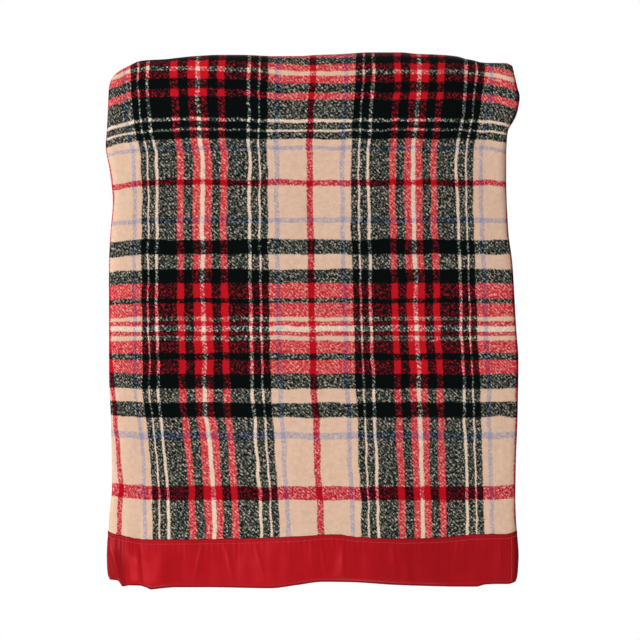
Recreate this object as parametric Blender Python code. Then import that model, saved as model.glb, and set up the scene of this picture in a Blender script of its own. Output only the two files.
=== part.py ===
"""Camp blanket, folded once along its length and hung over a rail.

Metres, +Z up. The rail's axis is the X axis, so the origin is the middle of the rail. The front leaf
hangs on the -Y side and the back leaf on the +Y side. The folded edge of the cloth is at -X, and its
two woven selvedges are at +X.

The wool is one woven panel. It is held here as three solids, the ridge over the rail and the two
leaves, because each leaf swings on its own where it comes off the rail. Both ends of the panel are
bound in satin, and each binding is held by one lockstitched row, with a needle thread on the cloth's
face, a bobbin thread on its back, and a short seam that closes the binding at each selvedge.
"""

import math

import bmesh
import bpy

# Driving dimensions, in metres
HUNG_WIDTH = 0.745  # fold to selvedges, as it hangs
HUNG_DROP = 0.931  # rail axis to the lower edge of a leaf
RAIL_RADIUS = 0.025  # of the rail that the blanket rests on
WOOL = 0.0025  # thickness of one layer of the woven panel
LAYER_GAP = 0.006  # between the two layers of a leaf
SATIN = 0.0008  # thickness of the binding cloth
BINDING_HEIGHT = 0.086
CLEARANCE = 0.0003  # between pieces that touch

STITCH_INSET = 0.008  # seam row below the binding's upper edge
THREAD_RADIUS = 0.00035
END_SEAM_INSET = 0.005  # closing seam in from the selvedge
END_SEAM_MARGIN = 0.006  # closing seam short of the binding's edges

LABEL_WIDTH = 0.050
LABEL_HEIGHT = 0.036
LABEL_THICKNESS = 0.0006
LABEL_FROM_SELVEDGE = 0.045
LABEL_STITCH_INSET = 0.0025

LOOP_STEPS = 12  # facets round the folded edge
RIDGE_STEPS = 24  # facets over the rail

# Worked out from the dimensions above
INNER_MIDDLE = RAIL_RADIUS + WOOL / 2  # middle of the inner layer, from the rail's axis
OUTER_MIDDLE = INNER_MIDDLE + WOOL + LAYER_GAP
OUTER_FACE = OUTER_MIDDLE + WOOL / 2
FOLD_RADIUS = (OUTER_MIDDLE - INNER_MIDDLE) / 2
FOLD_DISTANCE = (OUTER_MIDDLE + INNER_MIDDLE) / 2
SELVEDGE_X = HUNG_WIDTH / 2
FOLD_X = -HUNG_WIDTH / 2 + FOLD_RADIUS + WOOL / 2
BOUND_FACE = WOOL / 2 + CLEARANCE + SATIN  # binding's face, from the middle of a layer
BINDING_TOP = -HUNG_DROP + BINDING_HEIGHT
STITCH_Z = BINDING_TOP - STITCH_INSET
FRONT, BACK = -1, 1

WOOL_COLOUR = (0.66, 0.46, 0.34, 1.0)
SATIN_COLOUR = (0.47, 0.01, 0.02, 1.0)
THREAD_COLOUR = (0.62, 0.03, 0.05, 1.0)
LABEL_COLOUR = (0.85, 0.82, 0.76, 1.0)


def clear_scene():
    for obj in list(bpy.data.objects):
        bpy.data.objects.remove(obj, do_unlink=True)


def new_collection(name):
    collection = bpy.data.collections.new(name)
    bpy.context.scene.collection.children.link(collection)
    return collection


def new_material(name, colour, roughness, sheen=0.0):
    material = bpy.data.materials.new(name)
    material.use_nodes = True
    shader = material.node_tree.nodes["Principled BSDF"]
    shader.inputs["Base Color"].default_value = colour
    shader.inputs["Roughness"].default_value = roughness
    shader.inputs["Metallic"].default_value = 0.0
    shader.inputs["Sheen Weight"].default_value = sheen
    material.diffuse_color = colour
    return material


def fold_path(offset, end_x, side):
    """The line of the folded cloth, seen from above: out along the outer layer, round the fold and
    back along the inner layer. offset moves it outwards, to the cloth's face."""
    radius = FOLD_RADIUS + offset
    points = [(end_x, FOLD_DISTANCE + radius)]
    for step in range(LOOP_STEPS + 1):
        angle = math.pi * (0.5 + step / LOOP_STEPS)
        points.append((FOLD_X + radius * math.cos(angle), FOLD_DISTANCE + radius * math.sin(angle)))
    points.append((end_x, FOLD_DISTANCE - radius))
    return [(x, side * y) for x, y in points]


def folded_outline(half_thickness, end_x, side):
    """The closed outline of the folded cloth, half_thickness to each side of its middle line."""
    outside = fold_path(half_thickness, end_x, side)
    inside = fold_path(-half_thickness, end_x, side)
    return outside + inside[::-1]


def add_object(name, data, material, collection):
    if material:
        data.materials.append(material)
    obj = bpy.data.objects.new(name, data)
    collection.objects.link(obj)
    return obj


def mesh_from(name, bm):
    bmesh.ops.recalc_face_normals(bm, faces=bm.faces)
    mesh = bpy.data.meshes.new(name)
    bm.to_mesh(mesh)
    bm.free()
    return mesh


def spline_through(curve, points, closed):
    spline = curve.splines.new("POLY")
    spline.points.add(len(points) - 1)
    for point, place in zip(spline.points, points):
        point.co = (*place, 1.0)
    spline.use_cyclic_u = closed


def upright_solid(name, outline, low, high, material, collection):
    """The flat outline made solid from low to high."""
    curve = bpy.data.curves.new(name, "CURVE")
    curve.dimensions = "2D"
    curve.fill_mode = "BOTH"
    curve.extrude = (high - low) / 2
    spline_through(curve, [(x, y, 0.0) for x, y in outline], closed=True)
    solid = add_object(name, curve, material, collection)
    solid.location.z = (high + low) / 2
    return solid


def as_mesh(solid, material, collection):
    """The same solid as a welded mesh, which a Boolean can cut or use."""
    bpy.context.view_layer.update()
    evaluated = solid.evaluated_get(bpy.context.evaluated_depsgraph_get())
    bm = bmesh.new()
    bm.from_mesh(bpy.data.meshes.new_from_object(evaluated))
    bmesh.ops.remove_doubles(bm, verts=bm.verts, dist=1e-6)
    name, place = solid.name, solid.matrix_world.copy()
    bpy.data.objects.remove(solid, do_unlink=True)
    welded = add_object(name, mesh_from(name, bm), None, collection)
    if material:
        welded.data.materials.clear()
        welded.data.materials.append(material)
    welded.matrix_world = place
    return welded


def thread(name, points, closed, material, collection):
    """A sewing thread as a thin round tube along the points."""
    curve = bpy.data.curves.new(name, "CURVE")
    curve.dimensions = "3D"
    curve.bevel_depth = THREAD_RADIUS
    curve.bevel_resolution = 2
    curve.use_fill_caps = not closed
    spline_through(curve, points, closed)
    return add_object(name, curve, material, collection)


def make_ridge(material, collection):
    """The folded cloth turned half way round the rail."""
    bm = bmesh.new()
    outline = folded_outline(WOOL / 2, SELVEDGE_X, BACK)
    face = bm.faces.new([bm.verts.new((x, y, 0.0)) for x, y in outline])
    geometry = [face, *face.edges, *face.verts]
    bmesh.ops.spin(
        bm,
        geom=geometry,
        cent=(0.0, 0.0, 0.0),
        axis=(1.0, 0.0, 0.0),
        angle=math.pi,
        steps=RIDGE_STEPS,
        use_duplicate=False,
    )
    return add_object("wool_panel_ridge", mesh_from("wool_panel_ridge", bm), material, collection)


def make_leaf(name, side, material, collection):
    outline = folded_outline(WOOL / 2, SELVEDGE_X, side)
    low = -HUNG_DROP + SATIN + CLEARANCE
    return upright_solid(name, outline, low, -CLEARANCE, material, collection)


def make_binding(name, side, material, collection, cutters):
    """A satin channel, closed at its lower edge and at both selvedges, that the panel's end sits in."""
    block_outline = folded_outline(BOUND_FACE, SELVEDGE_X + CLEARANCE + SATIN, side)
    block = upright_solid(name, block_outline, -HUNG_DROP, BINDING_TOP, material, collection)
    binding = as_mesh(block, material, collection)
    slot_outline = folded_outline(WOOL / 2 + CLEARANCE, SELVEDGE_X + CLEARANCE, side)
    slot_low, slot_high = -HUNG_DROP + SATIN, BINDING_TOP + SATIN
    slot_block = upright_solid(name + "_slot", slot_outline, slot_low, slot_high, None, cutters)
    slot = as_mesh(slot_block, None, cutters)
    slot.hide_render = True
    slot.display_type = "WIRE"
    cut = binding.modifiers.new("slot", "BOOLEAN")
    cut.operation = "DIFFERENCE"
    cut.solver = "EXACT"
    cut.object = slot
    return binding


def make_seam_rows(end_name, side, material, collection):
    """The lockstitched row that holds a binding: needle thread on the face, bobbin thread behind."""
    proud = BOUND_FACE + CLEARANCE + THREAD_RADIUS
    rows = []
    for row, offset in (("needle", proud), ("bobbin", -proud)):
        path = fold_path(offset, SELVEDGE_X - END_SEAM_INSET, side)
        points = [(x, y, STITCH_Z) for x, y in path]
        rows.append(thread(f"{end_name}_{row}_thread", points, False, material, collection))
    return rows


def make_end_seams(end_name, side, material, collection):
    """The two upright seams that close a binding at the selvedges."""
    low, high = -HUNG_DROP + END_SEAM_MARGIN, STITCH_Z - END_SEAM_MARGIN
    x = SELVEDGE_X - END_SEAM_INSET
    seams = []
    for layer, middle, way in (("outer", OUTER_MIDDLE, 1), ("inner", INNER_MIDDLE, -1)):
        y = side * (middle + way * (BOUND_FACE + CLEARANCE + THREAD_RADIUS))
        points = [(x, y, low), (x, y, high)]
        seams.append(thread(f"{end_name}_end_seam_{layer}", points, False, material, collection))
    return seams


def make_label(tape, sewing, collection):
    """A blank woven label, sewn flat on the back leaf just above the head binding."""
    bm = bmesh.new()
    bmesh.ops.create_cube(bm, size=1.0)
    bmesh.ops.scale(bm, verts=bm.verts, vec=(LABEL_WIDTH, LABEL_THICKNESS, LABEL_HEIGHT))
    label = add_object("care_label", mesh_from("care_label", bm), tape, collection)
    x = SELVEDGE_X - LABEL_FROM_SELVEDGE - LABEL_WIDTH / 2
    y = OUTER_FACE + CLEARANCE + LABEL_THICKNESS / 2
    z = BINDING_TOP + LABEL_HEIGHT / 2 + 2 * THREAD_RADIUS
    label.location = (x, y, z)
    half_width = LABEL_WIDTH / 2 - LABEL_STITCH_INSET
    half_height = LABEL_HEIGHT / 2 - LABEL_STITCH_INSET
    sewn_y = y + LABEL_THICKNESS / 2 + CLEARANCE + THREAD_RADIUS
    corners = [(-1, -1), (1, -1), (1, 1), (-1, 1)]
    points = [(x + a * half_width, sewn_y, z + b * half_height) for a, b in corners]
    return [label, thread("care_label_stitching", points, True, sewing, collection)]


def hang_on_hinge(name, side, pieces, collection):
    """Parents a leaf's pieces to an empty on the line that the leaf swings about."""
    hinge = bpy.data.objects.new(name, None)
    hinge.location = (0.0, side * OUTER_FACE, 0.0)
    collection.objects.link(hinge)
    for piece in pieces:
        piece.parent = hinge
        piece.location -= hinge.location


def build():
    clear_scene()
    parts = new_collection("camp_blanket")
    cutters = new_collection("cutters")
    wool = new_material("wool_tartan", WOOL_COLOUR, 0.95, sheen=0.3)
    satin = new_material("satin_binding", SATIN_COLOUR, 0.38, sheen=0.1)
    sewing = new_material("sewing_thread", THREAD_COLOUR, 0.55)
    tape = new_material("label_tape", LABEL_COLOUR, 0.7)
    make_ridge(wool, parts)
    for leaf_name, end_name, side in (("front", "foot", FRONT), ("back", "head", BACK)):
        pieces = [
            make_leaf(f"wool_panel_{leaf_name}_leaf", side, wool, parts),
            make_binding(f"{end_name}_binding", side, satin, parts, cutters),
            *make_seam_rows(end_name, side, sewing, parts),
            *make_end_seams(end_name, side, sewing, parts),
        ]
        if side == BACK:
            pieces += make_label(tape, sewing, parts)
        hang_on_hinge(f"{leaf_name}_leaf_hinge", side, pieces, parts)


build()
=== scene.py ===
"""A tartan wool camp blanket with satin-bound ends, folded along its length and hung over a rail.

The rail's path, the hems, the bindings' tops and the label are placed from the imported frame, and curves in
the same axes give the rest. Lengths are in metres. u runs across the cloth, from the selvedge of the outer
layer, round the lengthwise fold, to the selvedge of the inner layer. v runs along it, from the top of the
rail: down the front leaf where it is above 0 and down the back leaf where it is below.
"""

import math

import bpy
import numpy as np
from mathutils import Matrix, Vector


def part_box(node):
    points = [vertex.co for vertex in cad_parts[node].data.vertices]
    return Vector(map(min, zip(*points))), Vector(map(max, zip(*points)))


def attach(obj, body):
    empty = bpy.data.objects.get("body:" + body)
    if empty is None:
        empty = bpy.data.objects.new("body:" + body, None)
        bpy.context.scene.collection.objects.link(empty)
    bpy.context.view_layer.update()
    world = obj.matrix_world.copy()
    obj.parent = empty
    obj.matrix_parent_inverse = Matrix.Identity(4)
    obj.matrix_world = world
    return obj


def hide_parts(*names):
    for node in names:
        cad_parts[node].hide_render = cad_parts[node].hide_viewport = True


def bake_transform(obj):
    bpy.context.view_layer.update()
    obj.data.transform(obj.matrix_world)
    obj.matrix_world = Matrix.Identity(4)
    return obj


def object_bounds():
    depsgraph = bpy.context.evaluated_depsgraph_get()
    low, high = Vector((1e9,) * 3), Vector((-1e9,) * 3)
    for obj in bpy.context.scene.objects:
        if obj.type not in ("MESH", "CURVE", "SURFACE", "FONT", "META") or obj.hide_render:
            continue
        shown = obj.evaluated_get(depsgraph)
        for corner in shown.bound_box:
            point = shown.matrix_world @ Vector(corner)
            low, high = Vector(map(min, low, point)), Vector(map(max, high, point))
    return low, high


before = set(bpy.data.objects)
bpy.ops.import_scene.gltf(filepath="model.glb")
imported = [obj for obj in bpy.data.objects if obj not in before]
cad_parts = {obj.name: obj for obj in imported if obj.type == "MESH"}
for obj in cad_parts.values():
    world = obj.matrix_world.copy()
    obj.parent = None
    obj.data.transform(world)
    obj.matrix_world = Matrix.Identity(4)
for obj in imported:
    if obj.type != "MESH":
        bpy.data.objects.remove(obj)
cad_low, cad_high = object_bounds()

MM = 0.001
TURN = 2 * math.pi

# ---------------- sizes, from the frame
ridge_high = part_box("wool_panel_ridge")[1]
binding_low, binding_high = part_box("foot_binding")
label_low, label_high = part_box("care_label")

CLOTH_WIDTH = 1.524
WOOL = 2.5 * MM  # thickness of the panel
OUTER_FACE = ridge_high.z  # the outer layer's face, from the rail's axis
RAIL_PATH = OUTER_FACE - WOOL / 2  # the outer layer's middle, from the rail's axis
ARC = math.pi / 2 * RAIL_PATH  # v where a leaf starts to hang straight
HEM_Z = binding_low.z
BINDING_TOP_Z = binding_high.z
HEM_V = ARC - HEM_Z
BINDING_V = ARC - BINDING_TOP_Z
HEM_GAP = 2 * MM  # the wool stops this short of the binding's fold
SATIN = 0.4 * MM  # thickness of the tape
STITCH_INSET = 8 * MM  # the seam's row, below the binding's upper edge
STITCH_PITCH = 3.1 * MM
SATIN_END = 3 * MM  # the binding closes over this much at each end
END_SEAM = 19 * MM  # the closing seams, from the selvedge, measured round its curl
TURNED_ROWS = 6  # of the satin's mesh, turned under at its upper edge
TURNED_STEP = 1.2 * MM  # between those rows
TURNED_UNDER = (TURNED_ROWS - 1) * TURNED_STEP
BOTTOM_FOLD = 1.5 * MM  # how far the satin's fold stands below the hem
TAPE_FOLD = TURNED_UNDER + HEM_V - BINDING_V + BOTTOM_FOLD  # that fold, along the tape
THREAD = 0.42 * MM  # radius
CORNER_GAP = 2 * MM  # no row of stitches comes nearer a corner than this
LABEL_SLACK = 1.02  # the label lies on curved cloth, so it takes this much more than its box's width
LABEL_GAP = .45 * MM  # between the wool and the label
LABEL_THICKNESS = .55 * MM
LABEL_PITCH = 2.2 * MM
LABEL_THREAD = .25 * MM  # radius

# ---------------- the check, in yarns
# The counts were worked out from where its bands start and end in the photo.
RED, CRIMSON, CREAM, IVORY, BLACK, BLUE = "red", "crimson", "cream", "ivory", "black", "blue"
HALF_SETT = 112  # warp yarns from the check's middle line to its motif's middle
ENDS = 8 * HALF_SETT  # warp yarns from selvedge to selvedge
PICK = 1.737 * MM  # between weft yarns
MOTIF_V = 55.4 * MM  # where the weft's list starts
# Lines that can be followed in the photo, as warp yarns from the check's middle line: the first ivory line
# beyond a motif, the beige stripe beyond its black ones, and the far edge of the blue line.
FAR_IVORY, FAR_BEIGE, FAR_BLUE = 161, 184, 192
# The warp's yarns from the check's middle line to its motif's middle, where they turn back.
WARP = ((CRIMSON, 3.5), (CREAM, 28.5), (BLUE, 5), (CREAM, 7), (BLACK, 7.2), (IVORY, 2.1), (BLACK, 7.8),
        (IVORY, 3), (BLACK, 21.3), (RED, 7.3), (BLACK, 9.3), (RED, 7.5), (IVORY, 2.5))
# The weft's, from its first motif to its second by way of a thin crimson line, and on by way of a wide one.
WEFT_THIN = ((CREAM, 2), (RED, 8), (BLACK, 10), (RED, 8), (BLACK, 19), (IVORY, 3), (BLACK, 8), (IVORY, 2),
             (BLACK, 8), (CREAM, 7), (BLUE, 4), (CREAM, 31.7), (CRIMSON, 6.6), (CREAM, 32.7), (BLUE, 5),
             (CREAM, 18), (BLACK, 16), (CREAM, 15), (BLACK, 15), (RED, 15), (BLACK, 6), (RED, 14), (CREAM, 4),
             (RED, 5), (IVORY, 3))
WEFT_WIDE = ((IVORY, 3), (RED, 5), (CREAM, 5), (RED, 13), (BLACK, 7), (RED, 14), (BLACK, 16), (CREAM, 14),
             (BLACK, 16), (CREAM, 16), (BLUE, 7), (CREAM, 49), (CRIMSON, 14), (CREAM, 49), (BLUE, 4),
             (CREAM, 7), (BLACK, 8), (IVORY, 2), (BLACK, 8), (IVORY, 3), (BLACK, 19), (RED, 8), (BLACK, 10),
             (RED, 7), (CREAM, 3))


# ---------------- curves
class Curve:
    """A smooth line through (place, value) pairs that never overshoots them."""

    def __init__(self, *knots, unit=1.0):
        self.place, value = np.array(knots, float).T
        self.value = value * unit
        slope = np.diff(self.value) / np.diff(self.place)
        # Level at a peak, and otherwise the harmonic mean of the slopes on either side.
        before, after = slope[:-1], slope[1:]
        same = before * after > 0
        total = np.where(same, before + after, 1.0)
        inner = np.where(same, 2 * before * after / total, 0.0)
        self.slope = np.concatenate([slope[:1], inner, slope[-1:]])

    def __call__(self, at):
        at = np.clip(at, self.place[0], self.place[-1])
        k = np.clip(np.searchsorted(self.place, at, side="right") - 1, 0, len(self.place) - 2)
        step = self.place[k + 1] - self.place[k]
        t = (at - self.place[k]) / step
        rest = 1 - t
        return (self.value[k] * (1 + 2 * t) * rest ** 2 + self.slope[k] * step * t * rest ** 2
                + self.value[k + 1] * (3 - 2 * t) * t ** 2 - self.slope[k + 1] * step * t ** 2 * rest)


def smooth(t):
    """0 up to 0, 1 from 1 on, and a smooth step between."""
    t = np.clip(t, 0, 1)
    return t * t * (3 - 2 * t)


# ---------------- how the cloth hangs
# The front leaf's curves come from the photo: CREST, RIDE_UP and the drift of the check's lines from places
# that small measuring scripts printed, SWAGS and CREASES from the satin's brightness, and the rest from
# enlarged views by eye. They were turned from pixels into metres and thinned. The back leaf's are guesses.
# The silhouette: where the fold's tip and the outer selvedge lie, along v.
FOLD_TIP = Curve(
    (-.99, -.364), (-.8, -.358), (-.5, -.362), (-.33, -.358), (-.2, -.357), (-.12, -.362), (-.04, -.368),
    (.005, -.361), (.025, -.352), (.042, -.361), (.068, -.37), (.1, -.3715), (.14, -.3735), (.17, -.3755),
    (.22, -.368), (.28, -.362), (.34, -.3664), (.4, -.369), (.6, -.369), (.7, -.3655), (.81, -.3637),
    (.875, -.3685), (.93, -.3705), (.965, -.37), (.99, -.3675))
SELVEDGE = Curve(
    (-.99, .362), (-.7, .362), (-.5, .362), (-.36, .35), (-.22, .344), (-.15, .345), (-.1, .355),
    (-.05, .367), (-.02, .368), (0, .364), (.03, .364), (.045, .367), (.063, .371), (.08, .3755),
    (.1, .373), (.12, .368), (.134, .362), (.15, .3546), (.165, .3525), (.2, .351), (.245, .351),
    (.34, .3546), (.4, .362), (.467, .366), (.52, .369), (.575, .3728), (.693, .371), (.75, .3686),
    (.83, .3673), (.875, .3685), (.93, .3715), (.965, .371), (.99, .3685))
# Where the lines of the check have drifted to, along v.
LEFT_MOTIF = Curve(
    (-.99, -.19), (0, -.206), (.06, -.209), (.11, -.2077), (.16, -.205), (.21, -.1995), (.3, -.2005),
    (.45, -.1995), (.52, -.1975), (.64, -.196), (.7, -.19), (.76, -.1845), (.85, -.179), (.99, -.177))
MIDDLE_LINE = Curve(
    (-.99, 0), (0, .0015), (.06, .0015), (.11, -.0024), (.16, -.0045), (.3, -.0045), (.4, -.0029),
    (.52, -.0005), (.64, .0033), (.7, .007), (.76, .0087), (.85, .0145), (.99, .017))
RIGHT_MOTIF = Curve(
    (-.99, .185), (-.2, .187), (0, .194), (.06, .194), (.11, .1905), (.16, .1867), (.21, .1823),
    (.3, .1828), (.4, .186), (.52, .1887), (.6, .193), (.7, .1955), (.76, .1977), (.88, .2004), (.99, .201))
# How far from its motif each of those lines lies, along v.
LEFT_IVORY_STEP = Curve((0, .091), (.1, .091), (.21, .0835), (.3, .081), (.4, .0825), (.52, .0838),
                        (.7, .0823), (.77, .0815), (.85, .0822), (.99, .0825))
LEFT_BLUE_STEP = Curve((-.99, .1365), (.1, .1365), (.2, .13), (.285, .1265), (.45, .128), (.6, .129),
                       (.7, .1275), (.77, .1262), (.85, .13), (.99, .131))
RIGHT_IVORY_STEP = Curve((-.99, .082), (0, .085), (.1, .084), (.21, .079), (.4, .081), (.99, .08))
RIGHT_BEIGE_STEP = Curve((-.99, .118), (-.2, .118), (0, .125), (.1, .123), (.21, .115), (.4, .1165),
                         (.7, .1177), (.99, .119))
# How far past the check's middle line the lengthwise fold lies, along v.
PAST_MIDLINE = Curve((-.99, 0), (.55, 0), (.62, .009), (.7, .0155), (.77, .0225), (.85, .0265), (.99, .027))
# How far the weft's lines ride up near the rail, across x.
RIDE_UP = Curve((-.375, 3), (-.34, 5), (-.29, 10), (-.23, 9.5), (-.14, 7.5), (-.08, 3), (-.04, 0), (.05, 0),
                (.12, 2), (.35, 2.5), unit=MM)

# The top of the cloth, and the middle of its bend, across x: past the rail's ends the cloth droops.
CREST = Curve(
    (-.375, 3), (-.36, 7.3), (-.3456, 11.3), (-.331, 17.5), (-.3165, 24), (-.3, 26), (-.27, 27.5),
    (-.244, 30.4), (-.215, 33.3), (-.17, 35.5), (-.13, 35.5), (-.07, 33.3), (-.02, 33.5), (.003, 35.1),
    (.05, 36.8), (.105, 40), (.16, 40), (.19, 37.5), (.235, 35.6), (.264, 32.7), (.2784, 28.4),
    (.293, 25.7), (.3075, 21.8), (.322, 20.8), (.351, 20.8), (.3655, 17), (.375, 14), unit=MM)
BEND_CENTRE = Curve((-.372, -14), (-.352, -8), (-.335, -2), (-.3, 0), (.28, 0), (.3165, -3.5), (.345, -9.5),
                    (.372, -17), unit=MM)
# How far the cloth stands above where it would hang straight, across x, at several v.
STRAIGHT = (-.26, 0), (0, 0), (.24, 0)
LIFTS = (
    (ARC, BEND_CENTRE),
    (.10, Curve((-.372, -14), (-.352, -8), (-.335, -2), (-.3, 0), *STRAIGHT, (.29, 0), (.3165, -3.6),
                (.345, -9.5), (.372, -17), unit=MM)),
    (.15, Curve((-.372, -17), (-.352, -11), (-.335, -7), (-.3, -2.5), *STRAIGHT, (.29, 0), (.3165, -2),
                (.345, -6), (.372, -11), unit=MM)),
    (.20, Curve((-.372, -12.7), (-.352, -9), (-.335, -6), (-.3, -2), *STRAIGHT, (.3165, -1), (.345, -5),
                (.372, -9), unit=MM)),
    (.30, Curve((-.372, -8), (-.335, -4), (-.3, -1), *STRAIGHT, (.345, -1), (.372, -3), unit=MM)),
    (.45, Curve((-.372, -5.4), (-.335, -2), (-.3, 0), *STRAIGHT, (.372, 0), unit=MM)),
    (.52, Curve((-.372, -1), *STRAIGHT, (.372, 0), unit=MM)),
    (.84, Curve((-.372, 10), (-.352, 7), (-.33, 3), *STRAIGHT, (.29, 0), (.32, 1), (.372, 3.6), unit=MM)),
    (BINDING_V, Curve((-.372, 15), (-.3637, 10.3), (-.351, 7), (-.329, 2.5), (-.307, -1.3), (-.222, -1.3),
                      (-.144, 0), (-.061, 3), (-.0045, 5.6), (.032, 8.2), (.088, 3), (.166, 0), (.228, 1.5),
                      (.311, 8.5), (.349, 8.5), (.372, 15), unit=MM)),
    (HEM_V, Curve((-.374, 13), (-.3546, 11.6), (-.3505, 8), (-.345, .5), (-.333, 2.4), (-.315, 2.2),
                  (-.302, -1.3), (-.293, -5), (-.278, -3.3), (-.247, -1), (-.2, -1), (-.077, -2.7),
                  (-.03, 2.9), (.02, 9), (.066, 8.4), (.159, 2.9), (.268, 0), (.297, 0), (.313, 3.8),
                  (.336, 5), (.355, 5), (.364, 7.4), (.374, 12), unit=MM)),
)
# How far the back leaf's hem is above the front one's, across x.
BACK_HEM = Curve((-.372, 19), (-.3, 9), (-.15, 7), (.05, 15), (.22, 9), (.31, 11), (.372, 18), unit=MM)

# How far the satin stands off the wool below its seam, across x.
SWAGS = Curve(
    (-.375, 1), (-.371, 2.8), (-.3635, 1.8), (-.354, .7), (-.343, .1), (-.333, 1.3), (-.322, 2.6),
    (-.315, 3.1), (-.312, 2.7), (-.3, 3.9), (-.289, 4.7), (-.278, 4.9), (-.222, 1.2), (-.202, 1.4),
    (-.191, 1), (-.159, .9), (-.137, 1.8), (-.126, 1.8), (-.104, 2.5), (-.083, 2.8), (-.055, 2.2),
    (.032, 3.1), (.046, 3), (.062, 5), (.076, 5.1), (.144, 3), (.159, 3.2), (.177, 2.4), (.2, 3.3),
    (.211, 3.5), (.255, 2), (.309, .4), (.34, .3), (.355, .7), (.362, 1.2), (.373, 0), unit=MM)

# Narrow creases in the satin: x at the seam, x at the hem and height. A negative one is a valley.
CREASES = ((-.311, -.313, -.6), (-.2, -.217, .8), (-.159, -.141, .8), (-.104, -.083, .6), (.014, .026, .6),
           (.053, .055, .7), (.144, .153, .6), (.262, .255, .4), (.341, .343, .5))
CREASE_WIDTH = 3.2 * MM

# Cross-sections, as (inset from the edge, depth behind the outer layer's middle), in millimetres.
SELVEDGE_CURL = ((0, 6.4), (1.3, 3.6), (4.5, 1.5), (11, .3), (24, 0))
ROUND_FOLD = ((60, 0), (30, .1), (14, .9), (5.5, 3.4), (1.2, 7), (0, 9.6), (1.2, 12.4), (6, 16), (16, 17.6),
              (38, 14.8), (70, 10.2), (110, 8.4))
FLAT_FOLD = ((60, .6), (36, -.6), (28, 0), (20, .8), (9, 1.9), (2, 5), (0, 9.6), (1.8, 13.4),
             (7, 16.2), (16, 17), (36, 14.4), (70, 10.2), (110, 8.4))
LAYERS = 8.4  # from the outer layer's middle to the inner layer's
INNER_CURL = .7  # the inner layer's selvedge curls this much as far as the outer one's
INNER_INSET = 3 * MM  # and lies this far inside it
SECTION_POINTS = 900
# How far the lengthwise fold is pressed flat, and how strongly the selvedge curls, along v.
FLATTENED = Curve((-.99, .5), (-.5, .2), (.1, .0), (.5, .1), (.78, .6), (.9, 1), (.99, 1))
CURLED = Curve((-.99, 1), (-.2, .6), (.03, .5), (.12, 1), (.17, 1.6), (.26, 1.4), (.4, 1.1), (.6, .8),
               (.86, .9), (.92, 1.5), (.99, 1.5))

# The leaves' slow waves: height in mm, turns in radians per metre across and along, and start.
SLOW_WAVES = ((1.5, 15, 1.2, 0), (1.1, 31, -2, -1.3), (.7, 9, 9, 0))
RIPPLE = .28 * MM
WAVES_GROW, RIPPLES_GROW = .5, .1  # to their full height, over this much of v
BACK_LEAF_START = 2.1  # so that the back leaf doesn't repeat the front one
STILL_V = .08  # there are no waves nearer the rail than this
SETTLED = .24  # a leaf hangs straight this far below its bend
LEAST_RADIUS = 3 * MM  # a bend tighter than this presses the layers together
EASY_RADIUS = 21 * MM  # a bend wider than this leaves them apart


def resampled(points, count):
    """Points at even steps of distance along a smooth line through them, and the distances."""
    points = np.array(points, float)
    far = np.concatenate([[0], np.cumsum(np.linalg.norm(np.diff(points, axis=0), axis=1))])
    at = np.linspace(0, far[-1], count)
    line = np.stack([Curve(*zip(far, points[:, k]))(at) for k in (0, 1)], axis=1)
    along = np.concatenate([[0], np.cumsum(np.linalg.norm(np.diff(line, axis=0), axis=1))])
    return line, along


def cross_section(v):
    """The folded cloth across x at v, and how far along it each place on u lies."""
    tip, edge = float(FOLD_TIP(v)), float(SELVEDGE(v))
    flat, curled = float(FLATTENED(v)), float(CURLED(v))
    curl = [(inset * MM, depth * MM * curled) for inset, depth in SELVEDGE_CURL]
    outer_end = [(edge - inset, depth) for inset, depth in curl]
    inner_end = [(edge - INNER_INSET - inset, LAYERS * MM + depth * INNER_CURL)
                 for inset, depth in reversed(curl)]
    fold = []
    for k in range(len(ROUND_FOLD)):
        near, deep = (a * (1 - flat) + b * flat for a, b in zip(ROUND_FOLD[k], FLAT_FOLD[k]))
        fold.append((tip + near * MM, deep * MM))
    line, along = resampled(outer_end + fold + inner_end, SECTION_POINTS)
    turn = int(np.argmin(line[:, 0]))

    def along_outer(x):
        return np.interp(x, line[turn::-1, 0], along[turn::-1])

    def u_of(yarn):
        return (2 * HALF_SETT - yarn) / ENDS * CLOTH_WIDTH

    # The lines whose drift is modelled, and where each lies across x.
    left, right = float(LEFT_MOTIF(v)), float(RIGHT_MOTIF(v))
    marks = ((FAR_BEIGE, right + float(RIGHT_BEIGE_STEP(v))), (FAR_IVORY, right + float(RIGHT_IVORY_STEP(v))),
             (HALF_SETT, right), (0, float(MIDDLE_LINE(v))), (-HALF_SETT, left),
             (-FAR_IVORY, left - float(LEFT_IVORY_STEP(v))), (-FAR_BLUE, left - float(LEFT_BLUE_STEP(v))))
    knots = [(0, 0), *((u_of(yarn), along_outer(x)) for yarn, x in marks),
             (CLOTH_WIDTH / 2 + float(PAST_MIDLINE(v)), along[turn]), (CLOTH_WIDTH, along[-1])]
    return line, along, Curve(*knots)


def lift(x, v):
    """How far the front leaf stands above where it would hang straight."""
    heights = np.stack([curve(x) for _, curve in LIFTS])
    places = np.array([place for place, _ in LIFTS])
    v = np.clip(v, places[0], places[-1])
    k = np.clip(np.searchsorted(places, v, side="right") - 1, 0, len(places) - 2)
    t = (v - places[k]) / (places[k + 1] - places[k])
    low = np.take_along_axis(heights, np.broadcast_to(k, x.shape)[None], 0)[0]
    high = np.take_along_axis(heights, np.broadcast_to(k + 1, x.shape)[None], 0)[0]
    return low * (1 - t) + high * t


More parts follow.
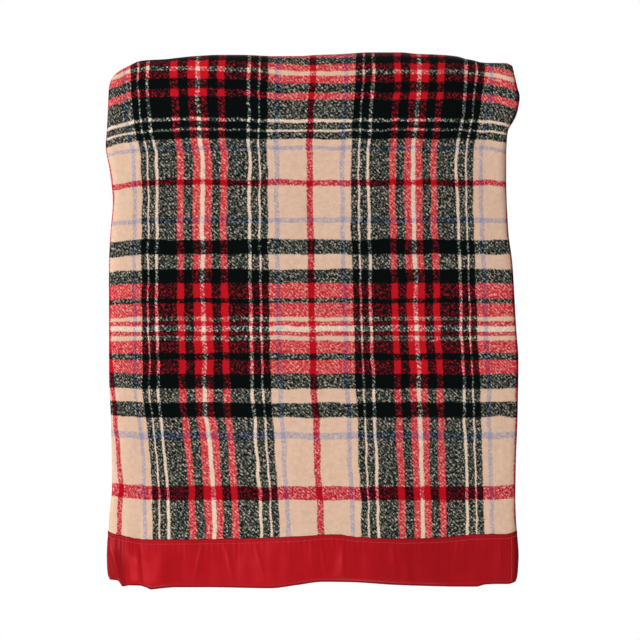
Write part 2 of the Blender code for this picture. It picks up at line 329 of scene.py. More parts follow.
def waves(x, v):
    """The slow waves that the leaves hang in, outwards."""
    deep = smooth((np.abs(v) - STILL_V) / WAVES_GROW)
    side = np.where(v > 0, 0.0, BACK_LEAF_START)
    # The ripples' radians per metre are all primes, so that no two keep step.
    coarse = np.sin(x * 83 + 41 * v) * np.sin(67 * v - 29 * x + 1)
    fine = np.sin(x * 127 - 53 * v + side) * np.sin(97 * v + 37 * x)
    ripple = (coarse + fine) * smooth(np.abs(v) / RIPPLES_GROW)
    slow = sum(high * np.sin(across * x + along * v + start + side)
               for high, across, along, start in SLOW_WAVES)
    return MM * deep * slow + RIPPLE * ripple


def place(x, depth, v):
    """Points of the cloth's middle surface in the row frame, for arrays x and depth over rows v."""
    centre = BEND_CENTRE(x)
    radius = CREST(x) - WOOL / 2 - centre
    end_of_bend = ARC - math.pi * radius
    below = np.where(v > 0, v - ARC, end_of_bend - v)
    hung = smooth(below / SETTLED)
    room = np.clip((radius - LEAST_RADIUS) / (EASY_RADIUS - LEAST_RADIUS), 0, 1)
    depth = depth * (room + (1 - room) * hung)
    angle = np.clip((ARC - v) / radius, 0, math.pi)
    out = radius + (RAIL_PATH - radius) * hung + waves(x, v) - depth
    back_drop = centre - (HEM_Z + BACK_HEM(x))
    fall = below * np.where(v > 0, 1.0, back_drop / (end_of_bend + HEM_V))
    y = -out * np.cos(angle)
    bend_z = centre + out * np.sin(angle)
    front_z = lift(x, v) - below
    z = np.where(below <= 0, bend_z, np.where(v > 0, front_z, centre - fall))
    return np.stack([x, y, z], axis=-1)


def cloth(u, v):
    """The cloth's middle surface: rows along v, columns across u."""
    x, depth = np.empty((2, len(v), len(u)))
    for row, at in enumerate(v):
        line, along, reach = cross_section(at)
        far = reach(u)
        x[row] = np.interp(far, along, line[:, 0])
        depth[row] = np.interp(far, along, line[:, 1])
    return place(x, depth, np.asarray(v)[:, None])


def normals_of(grid, sign=1):
    """Unit normals of a grid of points, pointing out of the outer layer."""
    across, down = np.gradient(grid, axis=1), np.gradient(grid, axis=0)
    normal = np.cross(across, down) * sign
    return normal / np.maximum(np.linalg.norm(normal, axis=-1, keepdims=True), 1e-12)


# ---------------- meshes
def new_object(name, mesh):
    obj = bpy.data.objects.new(name, mesh)
    bpy.context.scene.collection.objects.link(obj)
    return obj


def closed_sheet(name, outer, inner, yarns):
    """A closed solid between two grids of points. yarns gives each grid point's place in the weave."""
    rows, columns = outer.shape[:2]
    count = rows * columns
    index = np.arange(count).reshape(rows, columns)

    def quads(a, b, c, d):
        return np.stack([a, b, c, d], axis=-1).reshape(-1, 4)

    front = quads(index[:-1, :-1], index[1:, :-1], index[1:, 1:], index[:-1, 1:])
    back = front[:, ::-1] + count
    rim = np.concatenate([index[:, 0], index[-1, 1:], index[-2::-1, -1], index[0, -2:0:-1]])
    after = np.roll(rim, -1)
    side = quads(after, rim, rim + count, after + count)
    faces = np.concatenate([front, back, side])
    mesh = bpy.data.meshes.new(name)
    mesh.from_pydata(np.concatenate([outer.reshape(-1, 3), inner.reshape(-1, 3)]), [], faces)
    weave = np.concatenate([yarns.reshape(-1, 2)] * 2)
    layer = mesh.uv_layers.new(name="weave")
    layer.data.foreach_set("uv", weave[faces.ravel()].astype(np.float32).ravel())
    mesh.polygons.foreach_set("use_smooth", np.ones(len(faces), bool))
    # It is shaded smooth but for the edges round its rim.
    edges = mesh.attributes.new("sharp_edge", "BOOLEAN", "EDGE")
    on_rim = np.zeros(2 * count, bool)
    on_rim[rim] = on_rim[rim + count] = True
    ends = np.empty(len(mesh.edges) * 2, np.int32)
    mesh.edges.foreach_get("vertices", ends)
    ends = ends.reshape(-1, 2)
    same_side = (ends[:, 0] < count) == (ends[:, 1] < count)
    edges.data.foreach_set("value", on_rim[ends].all(axis=1) & same_side)
    mesh.validate()
    return new_object(name, mesh)


def steps(*stretches):
    """Places along a line: (from, to, spacing) for each stretch."""
    places = [np.linspace(a, b, max(round(abs(b - a) / gap), 1), endpoint=False) for a, b, gap in stretches]
    return np.append(np.concatenate(places), stretches[-1][1])


TUCK_START = 2 * MM  # the panel narrows this far below the binding's upper edge
RIDES_UP_TO = .06  # the weft's lines ride up in full as far as this v on the front leaf
RIDES_UP_FADE = .12  # and then less and less over this
RIDES_UP_FADE_BEHIND = .15  # which starts at the rail on the back leaf
ACROSS = steps((0, .006, 1.5 * MM), (.006, .018, 3 * MM), (.018, .70, 6 * MM), (.70, .81, 2.6 * MM),
               (.81, CLOTH_WIDTH - .012, 10 * MM), (CLOTH_WIDTH - .012, CLOTH_WIDTH, 3 * MM))


def make_wool(name, v):
    """One leaf's half of the woven panel, from the top of the rail to its bound end."""
    middle = cloth(ACROSS, v)
    # Inside the binding the panel is a little narrower, so that the satin closes round its corners.
    tucked = ACROSS + SATIN_END * (1 - 2 * ACROSS / CLOTH_WIDTH)
    for row in np.flatnonzero(np.abs(v) > BINDING_V + TUCK_START):
        middle[row] = np.stack([np.interp(tucked, ACROSS, middle[row, :, c]) for c in range(3)], axis=1)
    normal = normals_of(middle, 1 if v[-1] > v[0] else -1)
    near_rail = 1 - smooth(np.where(v > 0, (v - RIDES_UP_TO) / RIDES_UP_FADE, -v / RIDES_UP_FADE_BEHIND))
    ridden_up = RIDE_UP(middle[..., 0]) * near_rail[:, None]
    grid_u = np.broadcast_to(ACROSS / CLOTH_WIDTH * ENDS, ridden_up.shape)
    grid_v = (v[:, None] + ridden_up - MOTIF_V) / PICK
    yarns = np.stack([grid_u, grid_v], axis=-1)
    half = normal * (WOOL / 2)
    outer, inner = middle + half, middle - half
    if v[-1] < v[0]:
        outer, inner = inner, outer
    return closed_sheet(name, outer, inner, yarns)


# The satin tape's small shapes.
EDGE_WANDER = .6 * MM
EDGE_WANDERS_OVER = 14 * MM  # below the edge it is straight again
EDGE_PITCH = .008, .05  # between its ins and outs
GATHER = .42 * MM
GATHER_PITCH = .0052, .0125
GATHER_LIFT = .3 * MM  # so that gathers rise more than they sink
SHORT_GATHER, LONG_GATHER = 10 * MM, 26 * MM  # how far down they reach, by turns
GATHER_ABOVE = 4 * MM  # and how far up
SLOW_FOLD = .3 * MM
FOLD_PITCH = .022, .07
FOLDS_GROW, SWAGS_GROW = 30 * MM, 40 * MM  # to their full height, over this much of v
SWELL = .9 * MM  # the tape's slack, halfway down
PUFF = .5 * MM  # between the tape's edge and its seam
LEAN = .28  # of the swags, as metres across for each metre down
UPRIGHT_AT = -.177  # x of a swag that doesn't lean
CLOSES_BELOW = 3 * MM  # the tape's upper edge: its ends are open above this
LEAST_STAND_OFF = .35 * MM  # from the wool's face
AT_THE_HEM = 1.3 * MM  # from the wool's middle to either face
HEM_NARROWS = 6 * MM  # over this much of v
FOLD_ROWS = 7  # round the fold at the bottom, with both its ends
UNDER = WOOL / 2 + .1 * MM  # from the wool's middle to the turned-under edges


def wandering_edge(rng, middle, u, down):
    """The tape's upper edge wanders a little, as it is eased under the needle."""
    wander = sum(np.sin(TURN * u / rng.uniform(*EDGE_PITCH) + rng.uniform(0, TURN)) for _ in range(9)) / 4
    down_way = middle[-1] - middle[0]
    down_way /= np.linalg.norm(down_way, axis=-1, keepdims=True)
    near_top = 1 - smooth((down[:, None] - BINDING_V) / EDGE_WANDERS_OVER)
    return middle + down_way * (EDGE_WANDER * wander * near_top)[..., None]


def satin_stand_off(rng, middle, u, down, side):
    """How far the satin's face stands off the middle of the wool."""
    # Gathers: narrow ribs that start at the seam and fade away below it.
    across = u[None, :]
    below_seam = (down - BINDING_V - STITCH_INSET)[:, None]
    rib = sum(rng.uniform(.5, 1) * np.sin(TURN * across / rng.uniform(*GATHER_PITCH) + rng.uniform(0, TURN))
              for _ in range(7)) / 3.2
    by_turns = .5 + .5 * np.sin(TURN * across / .047 + 1.1 * np.sin(across * 61))
    reach = SHORT_GATHER + (LONG_GATHER - SHORT_GATHER) * by_turns
    ribs = GATHER * rib * np.exp(-np.where(below_seam > 0, below_seam / reach, -below_seam / GATHER_ABOVE))
    # Slow folds all the way down, the swags that the tape hangs in, and its creases.
    slow = sum(rng.uniform(.5, 1) * np.sin(TURN * across / rng.uniform(*FOLD_PITCH) + rng.uniform(0, TURN)
                                           + below_seam * rng.uniform(-9, 9)) for _ in range(5)) / 2.5
    fallen = np.clip(below_seam / (HEM_V - BINDING_V - STITCH_INSET), 0, 1)
    swell = SWELL * np.sin(math.pi * fallen) ** .6
    lean = LEAN * np.sin((middle[..., 0] - UPRIGHT_AT) * 25)
    swags = SWAGS(middle[..., 0] - lean * below_seam) * smooth(below_seam / SWAGS_GROW)
    creases = 0
    for start, end, high in CREASES:
        from_crease = middle[..., 0] * side - start - (end - start) * fallen
        creases = creases + high * MM * np.exp(-(from_crease / CREASE_WIDTH) ** 2)
    creases = creases * np.sin(math.pi * fallen ** .7)
    folds = SLOW_FOLD * slow * smooth(below_seam / FOLDS_GROW) + swell + swags + creases
    puff = np.where(below_seam < 0, PUFF * np.sin(math.pi * np.clip(-below_seam / STITCH_INSET, 0, 1)), 0)
    lie = WOOL / 2 + LEAST_STAND_OFF + np.maximum(ribs + GATHER_LIFT, 0) + np.maximum(folds, 0) + puff
    # It narrows to its fold at the bottom, and closes round the wool's corners at both ends.
    end = smooth((HEM_V - down[:, None]) / HEM_NARROWS)
    lie = np.where(below_seam > 0, lie * end + AT_THE_HEM * (1 - end), lie)
    closing = np.minimum(smooth(across / SATIN_END), smooth((CLOTH_WIDTH - across) / SATIN_END))
    closed = np.where(below_seam > CLOSES_BELOW - STITCH_INSET, SATIN * 1.1, WOOL / 2 + .3 * MM)
    return closed + (lie - closed) * closing


def make_binding(name, side):
    """The satin tape folded round one end of the wool, its edges turned under and gathered by the seam."""
    rng = np.random.default_rng(7 if side > 0 else 8)
    u = steps((0, .004, 1 * MM), (.004, .70, 2.4 * MM), (.70, .81, 1.8 * MM),
              (.81, CLOTH_WIDTH - .004, 4.5 * MM), (CLOTH_WIDTH - .004, CLOTH_WIDTH, 1 * MM))
    top, bottom = BINDING_V, HEM_V
    down = steps((top, top + .012, TURNED_STEP), (top + .012, top + .034, 2.2 * MM),
                 (top + .034, bottom - .006, 4 * MM), (bottom - .006, bottom, 1.2 * MM))
    middle = wandering_edge(rng, cloth(u, side * down), u, down)
    normal = normals_of(middle, side)
    lie = satin_stand_off(rng, middle, u, down, side)
    front = middle + normal * lie[..., None]
    back = middle - normal * lie[..., None]
    # The fold at the bottom and the turned-under edges at the top.
    down_way = middle[-1] - middle[-2]
    down_way /= np.linalg.norm(down_way, axis=-1, keepdims=True)
    bottom_rows = [middle[-1] + normal[-1] * lie[-1][:, None] * math.cos(a)
                   + down_way * BOTTOM_FOLD * math.sin(a)
                   for a in np.linspace(0, math.pi, FOLD_ROWS)[1:-1]]
    front_under = middle[1:TURNED_ROWS] + normal[1:TURNED_ROWS] * UNDER
    back_under = middle[1:TURNED_ROWS] - normal[1:TURNED_ROWS] * UNDER
    grid = np.stack([*front_under[::-1], *front, *bottom_rows, *back[::-1], *back_under])
    # How far along the tape each row is, from one turned-under edge to the other.
    turned = down[1:TURNED_ROWS]
    round_fold = bottom + np.linspace(0, 2 * BOTTOM_FOLD, FOLD_ROWS)[1:-1]
    way = np.concatenate([2 * top - turned[::-1], down, round_fold, 2 * bottom - down[::-1],
                          2 * bottom - 2 * top + turned])
    yarns = np.stack(np.meshgrid(u, way - way[0]), axis=-1)
    outer, inner = grid, grid - normals_of(grid, side) * SATIN
    if side < 0:
        outer, inner = inner, outer
    return closed_sheet(name, outer, inner, yarns), front, normal, u, down


front_v = steps((0, .062, 2 * MM), (.062, .10, 3.5 * MM), (.10, HEM_V - HEM_GAP, 6 * MM))
back_v = -steps((0, .12, 3 * MM), (.12, HEM_V - HEM_GAP, 7.5 * MM))
wool_front = make_wool("wool_front", front_v)
wool_back = make_wool("wool_back", back_v)
foot_satin, foot_face, foot_normal, satin_u, satin_v = make_binding("foot_binding_satin", 1)
head_satin, head_face, head_normal, _, _ = make_binding("head_binding_satin", -1)


# ---------------- materials
def linear(red, green, blue):
    """A colour written as 0 to 255 screen values, as the shader wants it."""
    values = (c / 255 for c in (red, green, blue))
    return (*(c / 12.92 if c <= .04045 else ((c + .055) / 1.055) ** 2.4 for c in values), 1.0)


class Graph:
    """Builds a material's node tree by calls, so that it reads as a formula."""

    def __init__(self, name):
        self.material = bpy.data.materials.new(name)
        self.material.use_nodes = True
        self.tree = self.material.node_tree
        self.tree.nodes.clear()

    def add(self, kind, inputs=(), **settings):
        node = self.tree.nodes.new(kind)
        for key, value in settings.items():
            setattr(node, key, value)
        for key, value in dict(inputs).items():
            if isinstance(value, bpy.types.NodeSocket):
                self.tree.links.new(value, node.inputs[key])
            else:
                node.inputs[key].default_value = value
        return node

    def math(self, operation, *values, clamp=False):
        return self.add("ShaderNodeMath", enumerate(values), operation=operation, use_clamp=clamp).outputs[0]

    def mix(self, factor, a, b, blend="MIX"):
        node = self.add("ShaderNodeMix", {0: factor, 6: a, 7: b}, data_type="RGBA", blend_type=blend)
        return node.outputs[2]

    def noise(self, vector, scale, detail=2.0, roughness=.5):
        node = self.add("ShaderNodeTexNoise", {"Vector": vector, "Scale": scale, "Detail": detail,
                                               "Roughness": roughness})
        return node.outputs[0]

    def spread(self, value, low, high):
        """A 0 to 1 value taken to low to high."""
        return self.math("MULTIPLY_ADD", value, high - low, low)

    def fade(self, value, start, end, low, high):
        """low as far as start, high from end on, and a smooth change between them."""
        return self.add("ShaderNodeMapRange", {0: value, 1: start, 2: end, 3: low, 4: high},
                        interpolation_type="SMOOTHSTEP").outputs[0]

    def moved(self, vector, by):
        """A place moved far enough that a noise there has nothing in common with the noise here."""
        return self.add("ShaderNodeVectorMath", {0: vector, 1: by}, operation="ADD").outputs[0]

    def grey(self, value):
        return self.add("ShaderNodeCombineColor", {0: value, 1: value, 2: value}).outputs[0]

    def finish(self, shader):
        output = self.add("ShaderNodeOutputMaterial")
        self.tree.links.new(shader.outputs[0], output.inputs[0])
        return self.material


YARN = {CREAM: linear(225, 189, 163), IVORY: linear(238, 222, 200), RED: linear(195, 18, 31),
        CRIMSON: linear(174, 9, 26), BLACK: linear(2, 9, 8), BLUE: linear(158, 151, 177)}


def stripes(graph, along, threads):
    """The colour at a place along a list of threads, 0 to their total."""
    total = sum(count for _, count in threads)
    ramp = graph.add("ShaderNodeValToRGB", {0: graph.math("DIVIDE", along, float(total))})
    ramp.color_ramp.interpolation = "CONSTANT"
    elements = ramp.color_ramp.elements
    at = 0
    for k, (colour, count) in enumerate(threads):
        # A new ramp has two stops already.
        stop = elements[k] if k < 2 else elements.new(1.0)
        stop.position = at / total
        stop.color = YARN[colour]
        at += count
    return ramp.outputs[0]


WANDER = 2.6  # how many yarns' width a yarn wanders either way
BLUR = 3.0  # how many yarns the nap blurs a stripe's edge by, either way
GREYED_ABOVE, GREYED_FULLY = .58, .72  # how far apart two yarns' reds are: only black with cream or ivory
GREYED = .28  # the share of their mixed colour that turns grey


def wool_material():
    g = Graph("wool_tartan")
    weave = g.add("ShaderNodeUVMap", uv_map="weave").outputs[0]
    axes = g.add("ShaderNodeSeparateXYZ", {0: weave})
    ends, picks = axes.outputs[0], axes.outputs[1]  # counted in yarns, as all scales here are
    # Yarns wander a little, and the nap blurs the edge of each stripe.
    drift = g.noise(weave, .035, 2)
    drift_across = g.noise(g.moved(weave, (71, 13, 0)), .035, 2)
    fuzz = g.noise(weave, .85, 3, .7)
    fuzz_across = g.noise(g.moved(weave, (31, 57, 0)), .85, 3, .7)
    end = g.math("ADD", g.math("ADD", ends, g.spread(drift, -WANDER, WANDER)), g.spread(fuzz, -BLUR, BLUR))
    pick = g.math("ADD", g.math("ADD", picks, g.spread(drift_across, -WANDER, WANDER)),
                  g.spread(fuzz_across, -BLUR, BLUR))
    warp = stripes(g, g.math("PINGPONG", end, float(HALF_SETT)), WARP)
    thin, wide = (float(sum(count for _, count in threads)) for threads in (WEFT_THIN, WEFT_WIDE))
    place_in_repeat = g.math("WRAP", pick, thin + wide, 0.0)
    first = stripes(g, place_in_repeat, WEFT_THIN)
    second = stripes(g, g.math("SUBTRACT", place_in_repeat, thin), WEFT_WIDE)
    weft = g.mix(g.math("GREATER_THAN", place_in_repeat, thin), first, second)
    # The 2/2 twill says which yarn is on top, and the nap pulls some of the other one over it.
    cell = g.math("ADD", g.math("FLOOR", end), g.math("FLOOR", pick))
    on_top = g.math("LESS_THAN", g.math("FLOORED_MODULO", cell, 4.0), 2.0)
    blotch = g.noise(weave, .37, 3, .62)
    crossing = g.add("ShaderNodeCombineXYZ", {0: g.math("FLOOR", end), 1: g.math("FLOOR", pick)}).outputs[0]
    chance = g.add("ShaderNodeTexWhiteNoise", {0: crossing}, noise_dimensions="2D").outputs[0]
    # shown is the warp's share and hidden is the weft's.
    pulled = g.math("ADD", g.spread(blotch, -1.25, 1.25), g.spread(chance, -.25, .25))
    shown = g.math("ADD", g.math("MULTIPLY_ADD", on_top, .32, .35), pulled, clamp=True)
    hidden = g.math("SUBTRACT", 1.0, shown)
    # Light passes through both yarns' fibres, so their colours multiply, each by its share.
    colour = g.mix(1.0, g.add("ShaderNodeGamma", {0: warp, 1: shown}).outputs[0],
                   g.add("ShaderNodeGamma", {0: weft, 1: hidden}).outputs[0], "MULTIPLY")
    # Where black and cream fibres are teased together the flecks look greyer.
    reds = [g.add("ShaderNodeSeparateColor", {0: yarn}).outputs[0] for yarn in (warp, weft)]
    contrast = g.math("ABSOLUTE", g.math("SUBTRACT", *reds))
    greyed = g.add("ShaderNodeMapRange", {0: contrast, 1: GREYED_ABOVE, 2: GREYED_FULLY, 3: 0.0,
                                          4: GREYED}).outputs[0]
    colour = g.mix(greyed, colour, g.add("ShaderNodeRGBToBW", {0: colour}).outputs[0])
    # Heathering, wear and slow changes of tone.
    fibre = g.noise(weave, 2.6, 4, .7)
    slow = g.noise(weave, .012, 2)
    worn = g.noise(weave, .16, 3, .7)
    tone = g.math("MULTIPLY", g.math("MULTIPLY", g.spread(fibre, .74, 1.26), g.spread(slow, .93, 1.07)),
                  g.spread(worn, .78, 1.22))
    colour = g.mix(1.0, colour, g.grey(tone), "MULTIPLY")
    # Relief: the twill's ribs under a raised nap.
    rib = g.math("SINE", g.math("MULTIPLY", g.math("ADD", end, pick), math.pi / 2))
    height = g.math("ADD", g.math("MULTIPLY", rib, .16), g.math("ADD", fibre, g.math("MULTIPLY", blotch, .6)))
    bump = g.add("ShaderNodeBump", {"Strength": .55, "Distance": .9 * MM, "Height": height})
    shader = g.add("ShaderNodeBsdfPrincipled", {
        "Base Color": colour, "Roughness": g.spread(fibre, .82, 1.0), "Normal": bump.outputs[0],
        "Specular IOR Level": .04, "Sheen Weight": .05, "Sheen Roughness": .5,
        "Sheen Tint": (1.0, .94, .88, 1.0)})
    return g.finish(shader)


# The dark red of the satin's painted shade.
PAINTED_SHADE_RED = linear(112, 5, 11)


def satin_material():
    g = Graph("satin_binding")
    tape = g.add("ShaderNodeUVMap", uv_map="weave").outputs[0]  # in metres, from a corner of the tape
    tone = g.noise(tape, 18.0, 3)
    streak = g.noise(g.add("ShaderNodeMapping", {0: tape, 3: (900.0, 60.0, 1.0)}).outputs[0], 1.0, 2)
    weave = g.noise(g.add("ShaderNodeMapping", {0: tape, 3: (2600.0, 1500.0, 1.0)}).outputs[0], 1.0, 1)
    colour = g.mix(g.math("MULTIPLY_ADD", streak, .5, g.math("MULTIPLY", tone, .5)), linear(160, 10, 17),
                   linear(187, 17, 26))
    # Painted shade: where the turned edge sits down in the nap, its shade is painted on as a darker red.
    along = g.add("ShaderNodeSeparateXYZ", {0: tape}).outputs[1]
    nap = g.noise(tape, 360.0, 3, .75)
    from_edge = g.math("ADD", g.math("ABSOLUTE", g.math("SUBTRACT", along, TURNED_UNDER)),
                       g.spread(nap, 3 * MM, -3 * MM))
    painted_edge_shade = g.fade(from_edge, .3 * MM, 3.2 * MM, .8, 0.0)
    colour = g.mix(painted_edge_shade, colour, linear(92, 4, 10))
    # Painted shade where the tape turns away round the lengthwise fold.
    across = g.add("ShaderNodeSeparateXYZ", {0: tape}).outputs[0]
    tucked = g.fade(across, .742, .750, 0.0, .5)
    open_again = g.fade(across, .80, .83, 1.0, 0.0)
    colour = g.mix(g.math("MULTIPLY", tucked, open_again), colour, PAINTED_SHADE_RED)
    # Painted shade: darker towards the selvedges, and more where the closed end rolls round.
    from_middle = g.math("ABSOLUTE", g.math("SUBTRACT", across, CLOTH_WIDTH / 2))
    painted_selvedge_shade = g.fade(from_middle, .34, .62, 0.0, .3)
    seam = CLOTH_WIDTH / 2 - END_SEAM
    painted_end_shade = g.fade(from_middle, seam + 1 * MM, seam + 8 * MM, 0.0, .7)
    colour = g.mix(g.math("MAXIMUM", painted_selvedge_shade, painted_end_shade), colour, PAINTED_SHADE_RED)
    # And painted shade makes it darkest along the fold at the bottom.
    from_fold = g.math("ABSOLUTE", g.math("SUBTRACT", along, TAPE_FOLD))
    painted_fold_shade = g.fade(from_fold, 1.5 * MM, 5 * MM, .75, 0.0)
    colour = g.mix(painted_fold_shade, colour, linear(104, 5, 10))
    # The fine weave's relief, and a sheen that is rubbed off wherever the tape is bent.
    height = g.math("ADD", g.math("MULTIPLY", streak, .5), weave)
    bump = g.add("ShaderNodeBump", {"Strength": .2, "Distance": .1 * MM, "Height": height})
    rubbed = g.math("MULTIPLY", g.math("MAXIMUM", g.math("MAXIMUM", painted_edge_shade, painted_fold_shade), painted_end_shade), .75)
    shader = g.add("ShaderNodeBsdfPrincipled", {
        "Base Color": colour, "Roughness": g.math("ADD", g.spread(tone, .31, .39), rubbed, clamp=True),
        "Normal": bump.outputs[0],
        "Specular IOR Level": 1.0, "Specular Tint": (1.0, .12, .16, 1.0)})
    return g.finish(shader)


def thread_material():
    g = Graph("sewing_thread")
    where = g.add("ShaderNodeTexCoord").outputs["Object"]
    strand = g.noise(where, 2600.0, 2)
    tone = g.noise(where, 160.0, 1)
    colour = g.mix(tone, linear(198, 36, 52), linear(226, 76, 90))
    bump = g.add("ShaderNodeBump", {"Strength": .5, "Distance": .1 * MM, "Height": strand})
    shader = g.add("ShaderNodeBsdfPrincipled", {
        "Base Color": colour, "Roughness": g.spread(strand, .45, .7), "Normal": bump.outputs[0],
        "Sheen Weight": .2})
    return g.finish(shader)


def label_material():
    g = Graph("label_tape")
    tape = g.add("ShaderNodeUVMap", uv_map="weave").outputs[0]
    axes = g.add("ShaderNodeSeparateXYZ", {0: tape})
    across = g.math("SINE", g.math("MULTIPLY", axes.outputs[0], TURN / (.5 * MM)))
    down = g.math("SINE", g.math("MULTIPLY", axes.outputs[1], TURN / (.4 * MM)))
    height = g.math("MULTIPLY", across, down)
    tone = g.noise(tape, 400.0, 3)
    colour = g.mix(tone, linear(222, 214, 196), linear(242, 238, 226))
    bump = g.add("ShaderNodeBump", {"Strength": .4, "Distance": .1 * MM, "Height": height})
    shader = g.add("ShaderNodeBsdfPrincipled", {
        "Base Color": colour, "Roughness": g.spread(tone, .55, .75), "Normal": bump.outputs[0]})
    return g.finish(shader)


FLOOR_FADES, FLOOR_GONE = .35, 1.1  # from this far out, and by this far out
FLOOR_SIZE = 1.3  # from its middle to its edge
FLOOR_DROP = .2  # below the hem


def floor_material():
    """A pale matt floor that fades into the white around it."""
    g = Graph("studio_floor")
    where = g.add("ShaderNodeNewGeometry").outputs["Position"]
    tone = g.noise(where, 2.0, 2)
    colour = g.mix(tone, (.93, .93, .93, 1), (.95, .95, .95, 1))
    matt = g.add("ShaderNodeBsdfPrincipled", {"Base Color": colour, "Roughness": g.spread(tone, .85, .95)})
    axes = g.add("ShaderNodeSeparateXYZ", {0: where})
    far = g.math("SQRT", g.math("ADD", g.math("POWER", axes.outputs[0], 2.0),
                                g.math("POWER", axes.outputs[1], 2.0)))
    fade = g.fade(far, FLOOR_FADES, FLOOR_GONE, 0.0, 1.0)
    clear = g.add("ShaderNodeBsdfTransparent")
    return g.finish(g.add("ShaderNodeMixShader", {0: fade, 1: matt.outputs[0], 2: clear.outputs[0]}))


wool, satin, thread, tape = wool_material(), satin_material(), thread_material(), label_material()
for obj, material in ((wool_front, wool), (wool_back, wool), (foot_satin, satin), (head_satin, satin)):
    obj.data.materials.append(material)


# ---------------- stitches and the label
SIDES = 6  # of a thread
END_TAPER = .55  # a thread's cut ends are this much as thick as the rest
ASKEW = np.array([.31, .87, .38])  # a direction that no thread runs in, unless it is nearly along Y
ASKEW_TOO = np.array([.9, .1, .4])  # and one for a thread that is
# Along a stitch: places as shares of its pitch, and how far out of the cloth's face it is there.
STITCH_SPREAD = np.array([-.34, -.24, 0, .24, .34])
STITCH_RISE = np.array([-.35, .26, .42, .26, -.35]) * MM


def tubes(name, runs, radius):
    """Short lengths of thread as closed tubes, in one mesh. runs are arrays of points."""
    points, faces = [], []
    for run in runs:
        run = np.asarray(run)
        way = np.gradient(run, axis=0)
        way /= np.linalg.norm(way, axis=1, keepdims=True)
        helper = ASKEW if abs(way[0, 1]) < .8 else ASKEW_TOO
        first = np.cross(way, helper)
        first /= np.linalg.norm(first, axis=1, keepdims=True)
        second = np.cross(way, first)
        start = len(points)
        rings = len(run)
        for k in range(rings):
            size = radius * (END_TAPER if k in (0, rings - 1) else 1)
            for s in range(SIDES):
                a = TURN * s / SIDES
                points.append(run[k] + size * (math.cos(a) * first[k] + math.sin(a) * second[k]))
        for k in range(rings - 1):
            for s in range(SIDES):
                a, b = start + k * SIDES + s, start + k * SIDES + (s + 1) % SIDES
                faces.append((a, b, b + SIDES, a + SIDES))
        faces.append(tuple(start + s for s in range(SIDES))[::-1])
        faces.append(tuple(start + (rings - 1) * SIDES + s for s in range(SIDES)))
    mesh = bpy.data.meshes.new(name)
    mesh.from_pydata([tuple(p) for p in points], [], faces)
    mesh.polygons.foreach_set("use_smooth", np.ones(len(faces), bool))
    mesh.materials.append(thread)
    return new_object(name, mesh)


def stitches(line, normal, pitch):
    """Lockstitches along a line of points: each rises out of the cloth, runs along it and dips back in."""
    far = np.concatenate([[0], np.cumsum(np.linalg.norm(np.diff(line, axis=0), axis=1))])
    count = int(far[-1] / pitch)
    runs = []
    for k in range(count):
        at = (k + .5 + STITCH_SPREAD) * far[-1] / count
        spot = np.stack([np.interp(at, far, line[:, c]) for c in range(3)], axis=1)
        out = np.stack([np.interp(at, far, normal[:, c]) for c in range(3)], axis=1)
        runs.append(spot + out * STITCH_RISE[:, None])
    return runs


def binding_stitches(end, side, face, normal):
    """The needle and bobbin rows, and the two short seams that close the binding at the selvedges."""
    middle = cloth(satin_u, side * satin_v)
    row = int(np.argmin(np.abs(satin_v - BINDING_V - STITCH_INSET)))
    inside = (satin_u > CORNER_GAP) & (satin_u < CLOTH_WIDTH - CORNER_GAP)
    line, out = face[row][inside], normal[row][inside]
    made = [tubes(f"{end}_needle_stitches", stitches(line, out, STITCH_PITCH), THREAD)]
    mirrored = 2 * middle[row][inside] - line
    made.append(tubes(f"{end}_bobbin_stitches", stitches(mirrored, -out, STITCH_PITCH), THREAD))
    rows = (satin_v > BINDING_V + STITCH_INSET + CORNER_GAP) & (satin_v < HEM_V - CORNER_GAP)
    for layer, at in (("outer", END_SEAM), ("inner", CLOTH_WIDTH - END_SEAM)):
        column = np.argmin(np.abs(satin_u - at))
        line, out = face[rows, column], normal[rows, column]
        made.append(tubes(f"{end}_end_stitches_{layer}", stitches(line, out, STITCH_PITCH), THREAD))
    return made


def make_label():
    """A blank woven label on the back leaf, with its row of stitches."""
    width, height = label_high.x - label_low.x, label_high.z - label_low.z
    columns, rows = 15, 13
    u_start = float(SELVEDGE(-BINDING_V)) - label_high.x
    u = np.linspace(u_start, u_start + width * LABEL_SLACK, columns)
    top = HEM_V + (HEM_Z - label_high.z)
    v = -np.linspace(top, top + height, rows)
    middle = cloth(u, v)
    normal = normals_of(middle, -1)
    inner = middle + normal * (WOOL / 2 + LABEL_GAP)
    outer = inner + normal * LABEL_THICKNESS
    yarns = np.stack(np.meshgrid(u, v), axis=-1)
    label = closed_sheet("blank_label", inner, outer, yarns)
    label.data.materials.append(tape)
    # The stitches run one row and one column in from its edge.
    last_row, last_column = rows - 2, columns - 2
    edge = [(r, 1) for r in range(1, last_row + 1)] + [(last_row, c) for c in range(2, last_column + 1)]
    edge += [(r, last_column) for r in range(last_row - 1, 0, -1)]
    edge += [(1, c) for c in range(last_column - 1, 0, -1)]
    line = np.array([outer[r, c] for r, c in edge])
    out = np.array([normal[r, c] for r, c in edge])
    return label, tubes("label_stitches", stitches(line, out, LABEL_PITCH), LABEL_THREAD)


foot_stitches = binding_stitches("foot", 1, foot_face, foot_normal)
head_stitches = binding_stitches("head", -1, head_face, head_normal)
label, label_stitches = make_label()


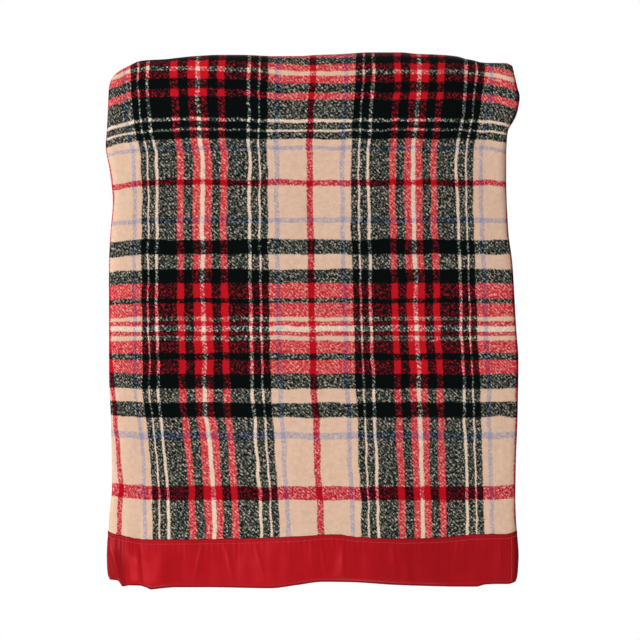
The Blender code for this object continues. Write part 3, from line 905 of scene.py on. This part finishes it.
# ---------------- what rides on what
# Each panel stays where it is made, and its binding and rows of stitches ride on its leaf in place of the
# frame's parts.
for end, leaf, panel, binding, sewn in (("foot", "front_leaf", wool_front, foot_satin, foot_stitches),
                                        ("head", "back_leaf", wool_back, head_satin, head_stitches)):
    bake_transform(panel)
    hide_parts(f"wool_panel_{leaf}")
    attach(binding, leaf)
    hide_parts(f"{end}_binding")
    nodes = (f"{end}_needle_thread", f"{end}_bobbin_thread", f"{end}_end_seam_outer", f"{end}_end_seam_inner")
    for row, node in zip(sewn, nodes):
        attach(row, leaf)
        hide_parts(node)
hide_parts("wool_panel_ridge")
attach(label, "back_leaf")
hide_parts("care_label")
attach(label_stitches, "back_leaf")
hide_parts("care_label_stitching")


# ---------------- floor, light and camera
def make_floor():
    mesh = bpy.data.meshes.new("studio_floor")
    size, level = FLOOR_SIZE, HEM_Z - FLOOR_DROP
    mesh.from_pydata([(-size, -size, level), (size, -size, level), (size, size, level), (-size, size, level)],
                     [], [(0, 1, 2, 3)])
    mesh.materials.append(floor_material())
    floor = new_object("studio_floor", mesh)


AIMED_AT = Vector((0, 0, -.45))  # near the blanket's middle
AMBIENT = .33
DISTANCE = 6.0  # of the camera, from the cloth's face
VIEW_WIDTH = 1.161  # that the camera sees at that distance
SIDEWAYS, DOWN = .0141, .0009  # from the blanket's middle to the photo's


def make_light(name, spot, size, power):
    """A round soft light, turned to the blanket."""
    lamp = bpy.data.lights.new(name, "AREA")
    lamp.shape = "DISK"
    lamp.size = size
    lamp.energy = power
    obj = new_object(name, lamp)
    obj.location = spot
    obj.rotation_euler = (AIMED_AT - Vector(spot)).to_track_quat("-Z", "Y").to_euler()


def make_world():
    """White behind the blanket, and a weaker light on it from all sides."""
    world = bpy.data.worlds.new("studio")
    world.use_nodes = True
    nodes, links = world.node_tree.nodes, world.node_tree.links
    nodes.clear()
    seen, lit = (nodes.new("ShaderNodeBackground") for _ in range(2))
    seen.inputs[0].default_value = lit.inputs[0].default_value = (1, 1, 1, 1)
    seen.inputs[1].default_value, lit.inputs[1].default_value = 1.0, AMBIENT
    mix, path = nodes.new("ShaderNodeMixShader"), nodes.new("ShaderNodeLightPath")
    output = nodes.new("ShaderNodeOutputWorld")
    links.new(path.outputs["Is Camera Ray"], mix.inputs[0])
    links.new(lit.outputs[0], mix.inputs[1])
    links.new(seen.outputs[0], mix.inputs[2])
    links.new(mix.outputs[0], output.inputs[0])
    bpy.context.scene.world = world


def make_camera():
    """At the photo's viewing angle, straight on, from far away with a long lens."""
    camera = bpy.data.cameras.new("camera")
    camera.sensor_width = 36
    camera.lens = camera.sensor_width * DISTANCE / VIEW_WIDTH
    obj = new_object("camera", camera)
    middle = (cad_low + cad_high) / 2
    obj.location = (middle.x + SIDEWAYS, -OUTER_FACE - DISTANCE, middle.z - DOWN)
    obj.rotation_euler = (math.pi / 2, 0, 0)
    bpy.context.scene.camera = obj


make_floor()
make_world()
make_light("key", (-4.2, -3.8, 1.2), 1.4, 275)
make_light("low", (-1.35, -2.6, -.85), .5, 8)
make_light("behind", (.9, 3.2, 1.2), 1.4, 90)
make_camera()
bpy.context.scene.view_settings.view_transform = "Standard"
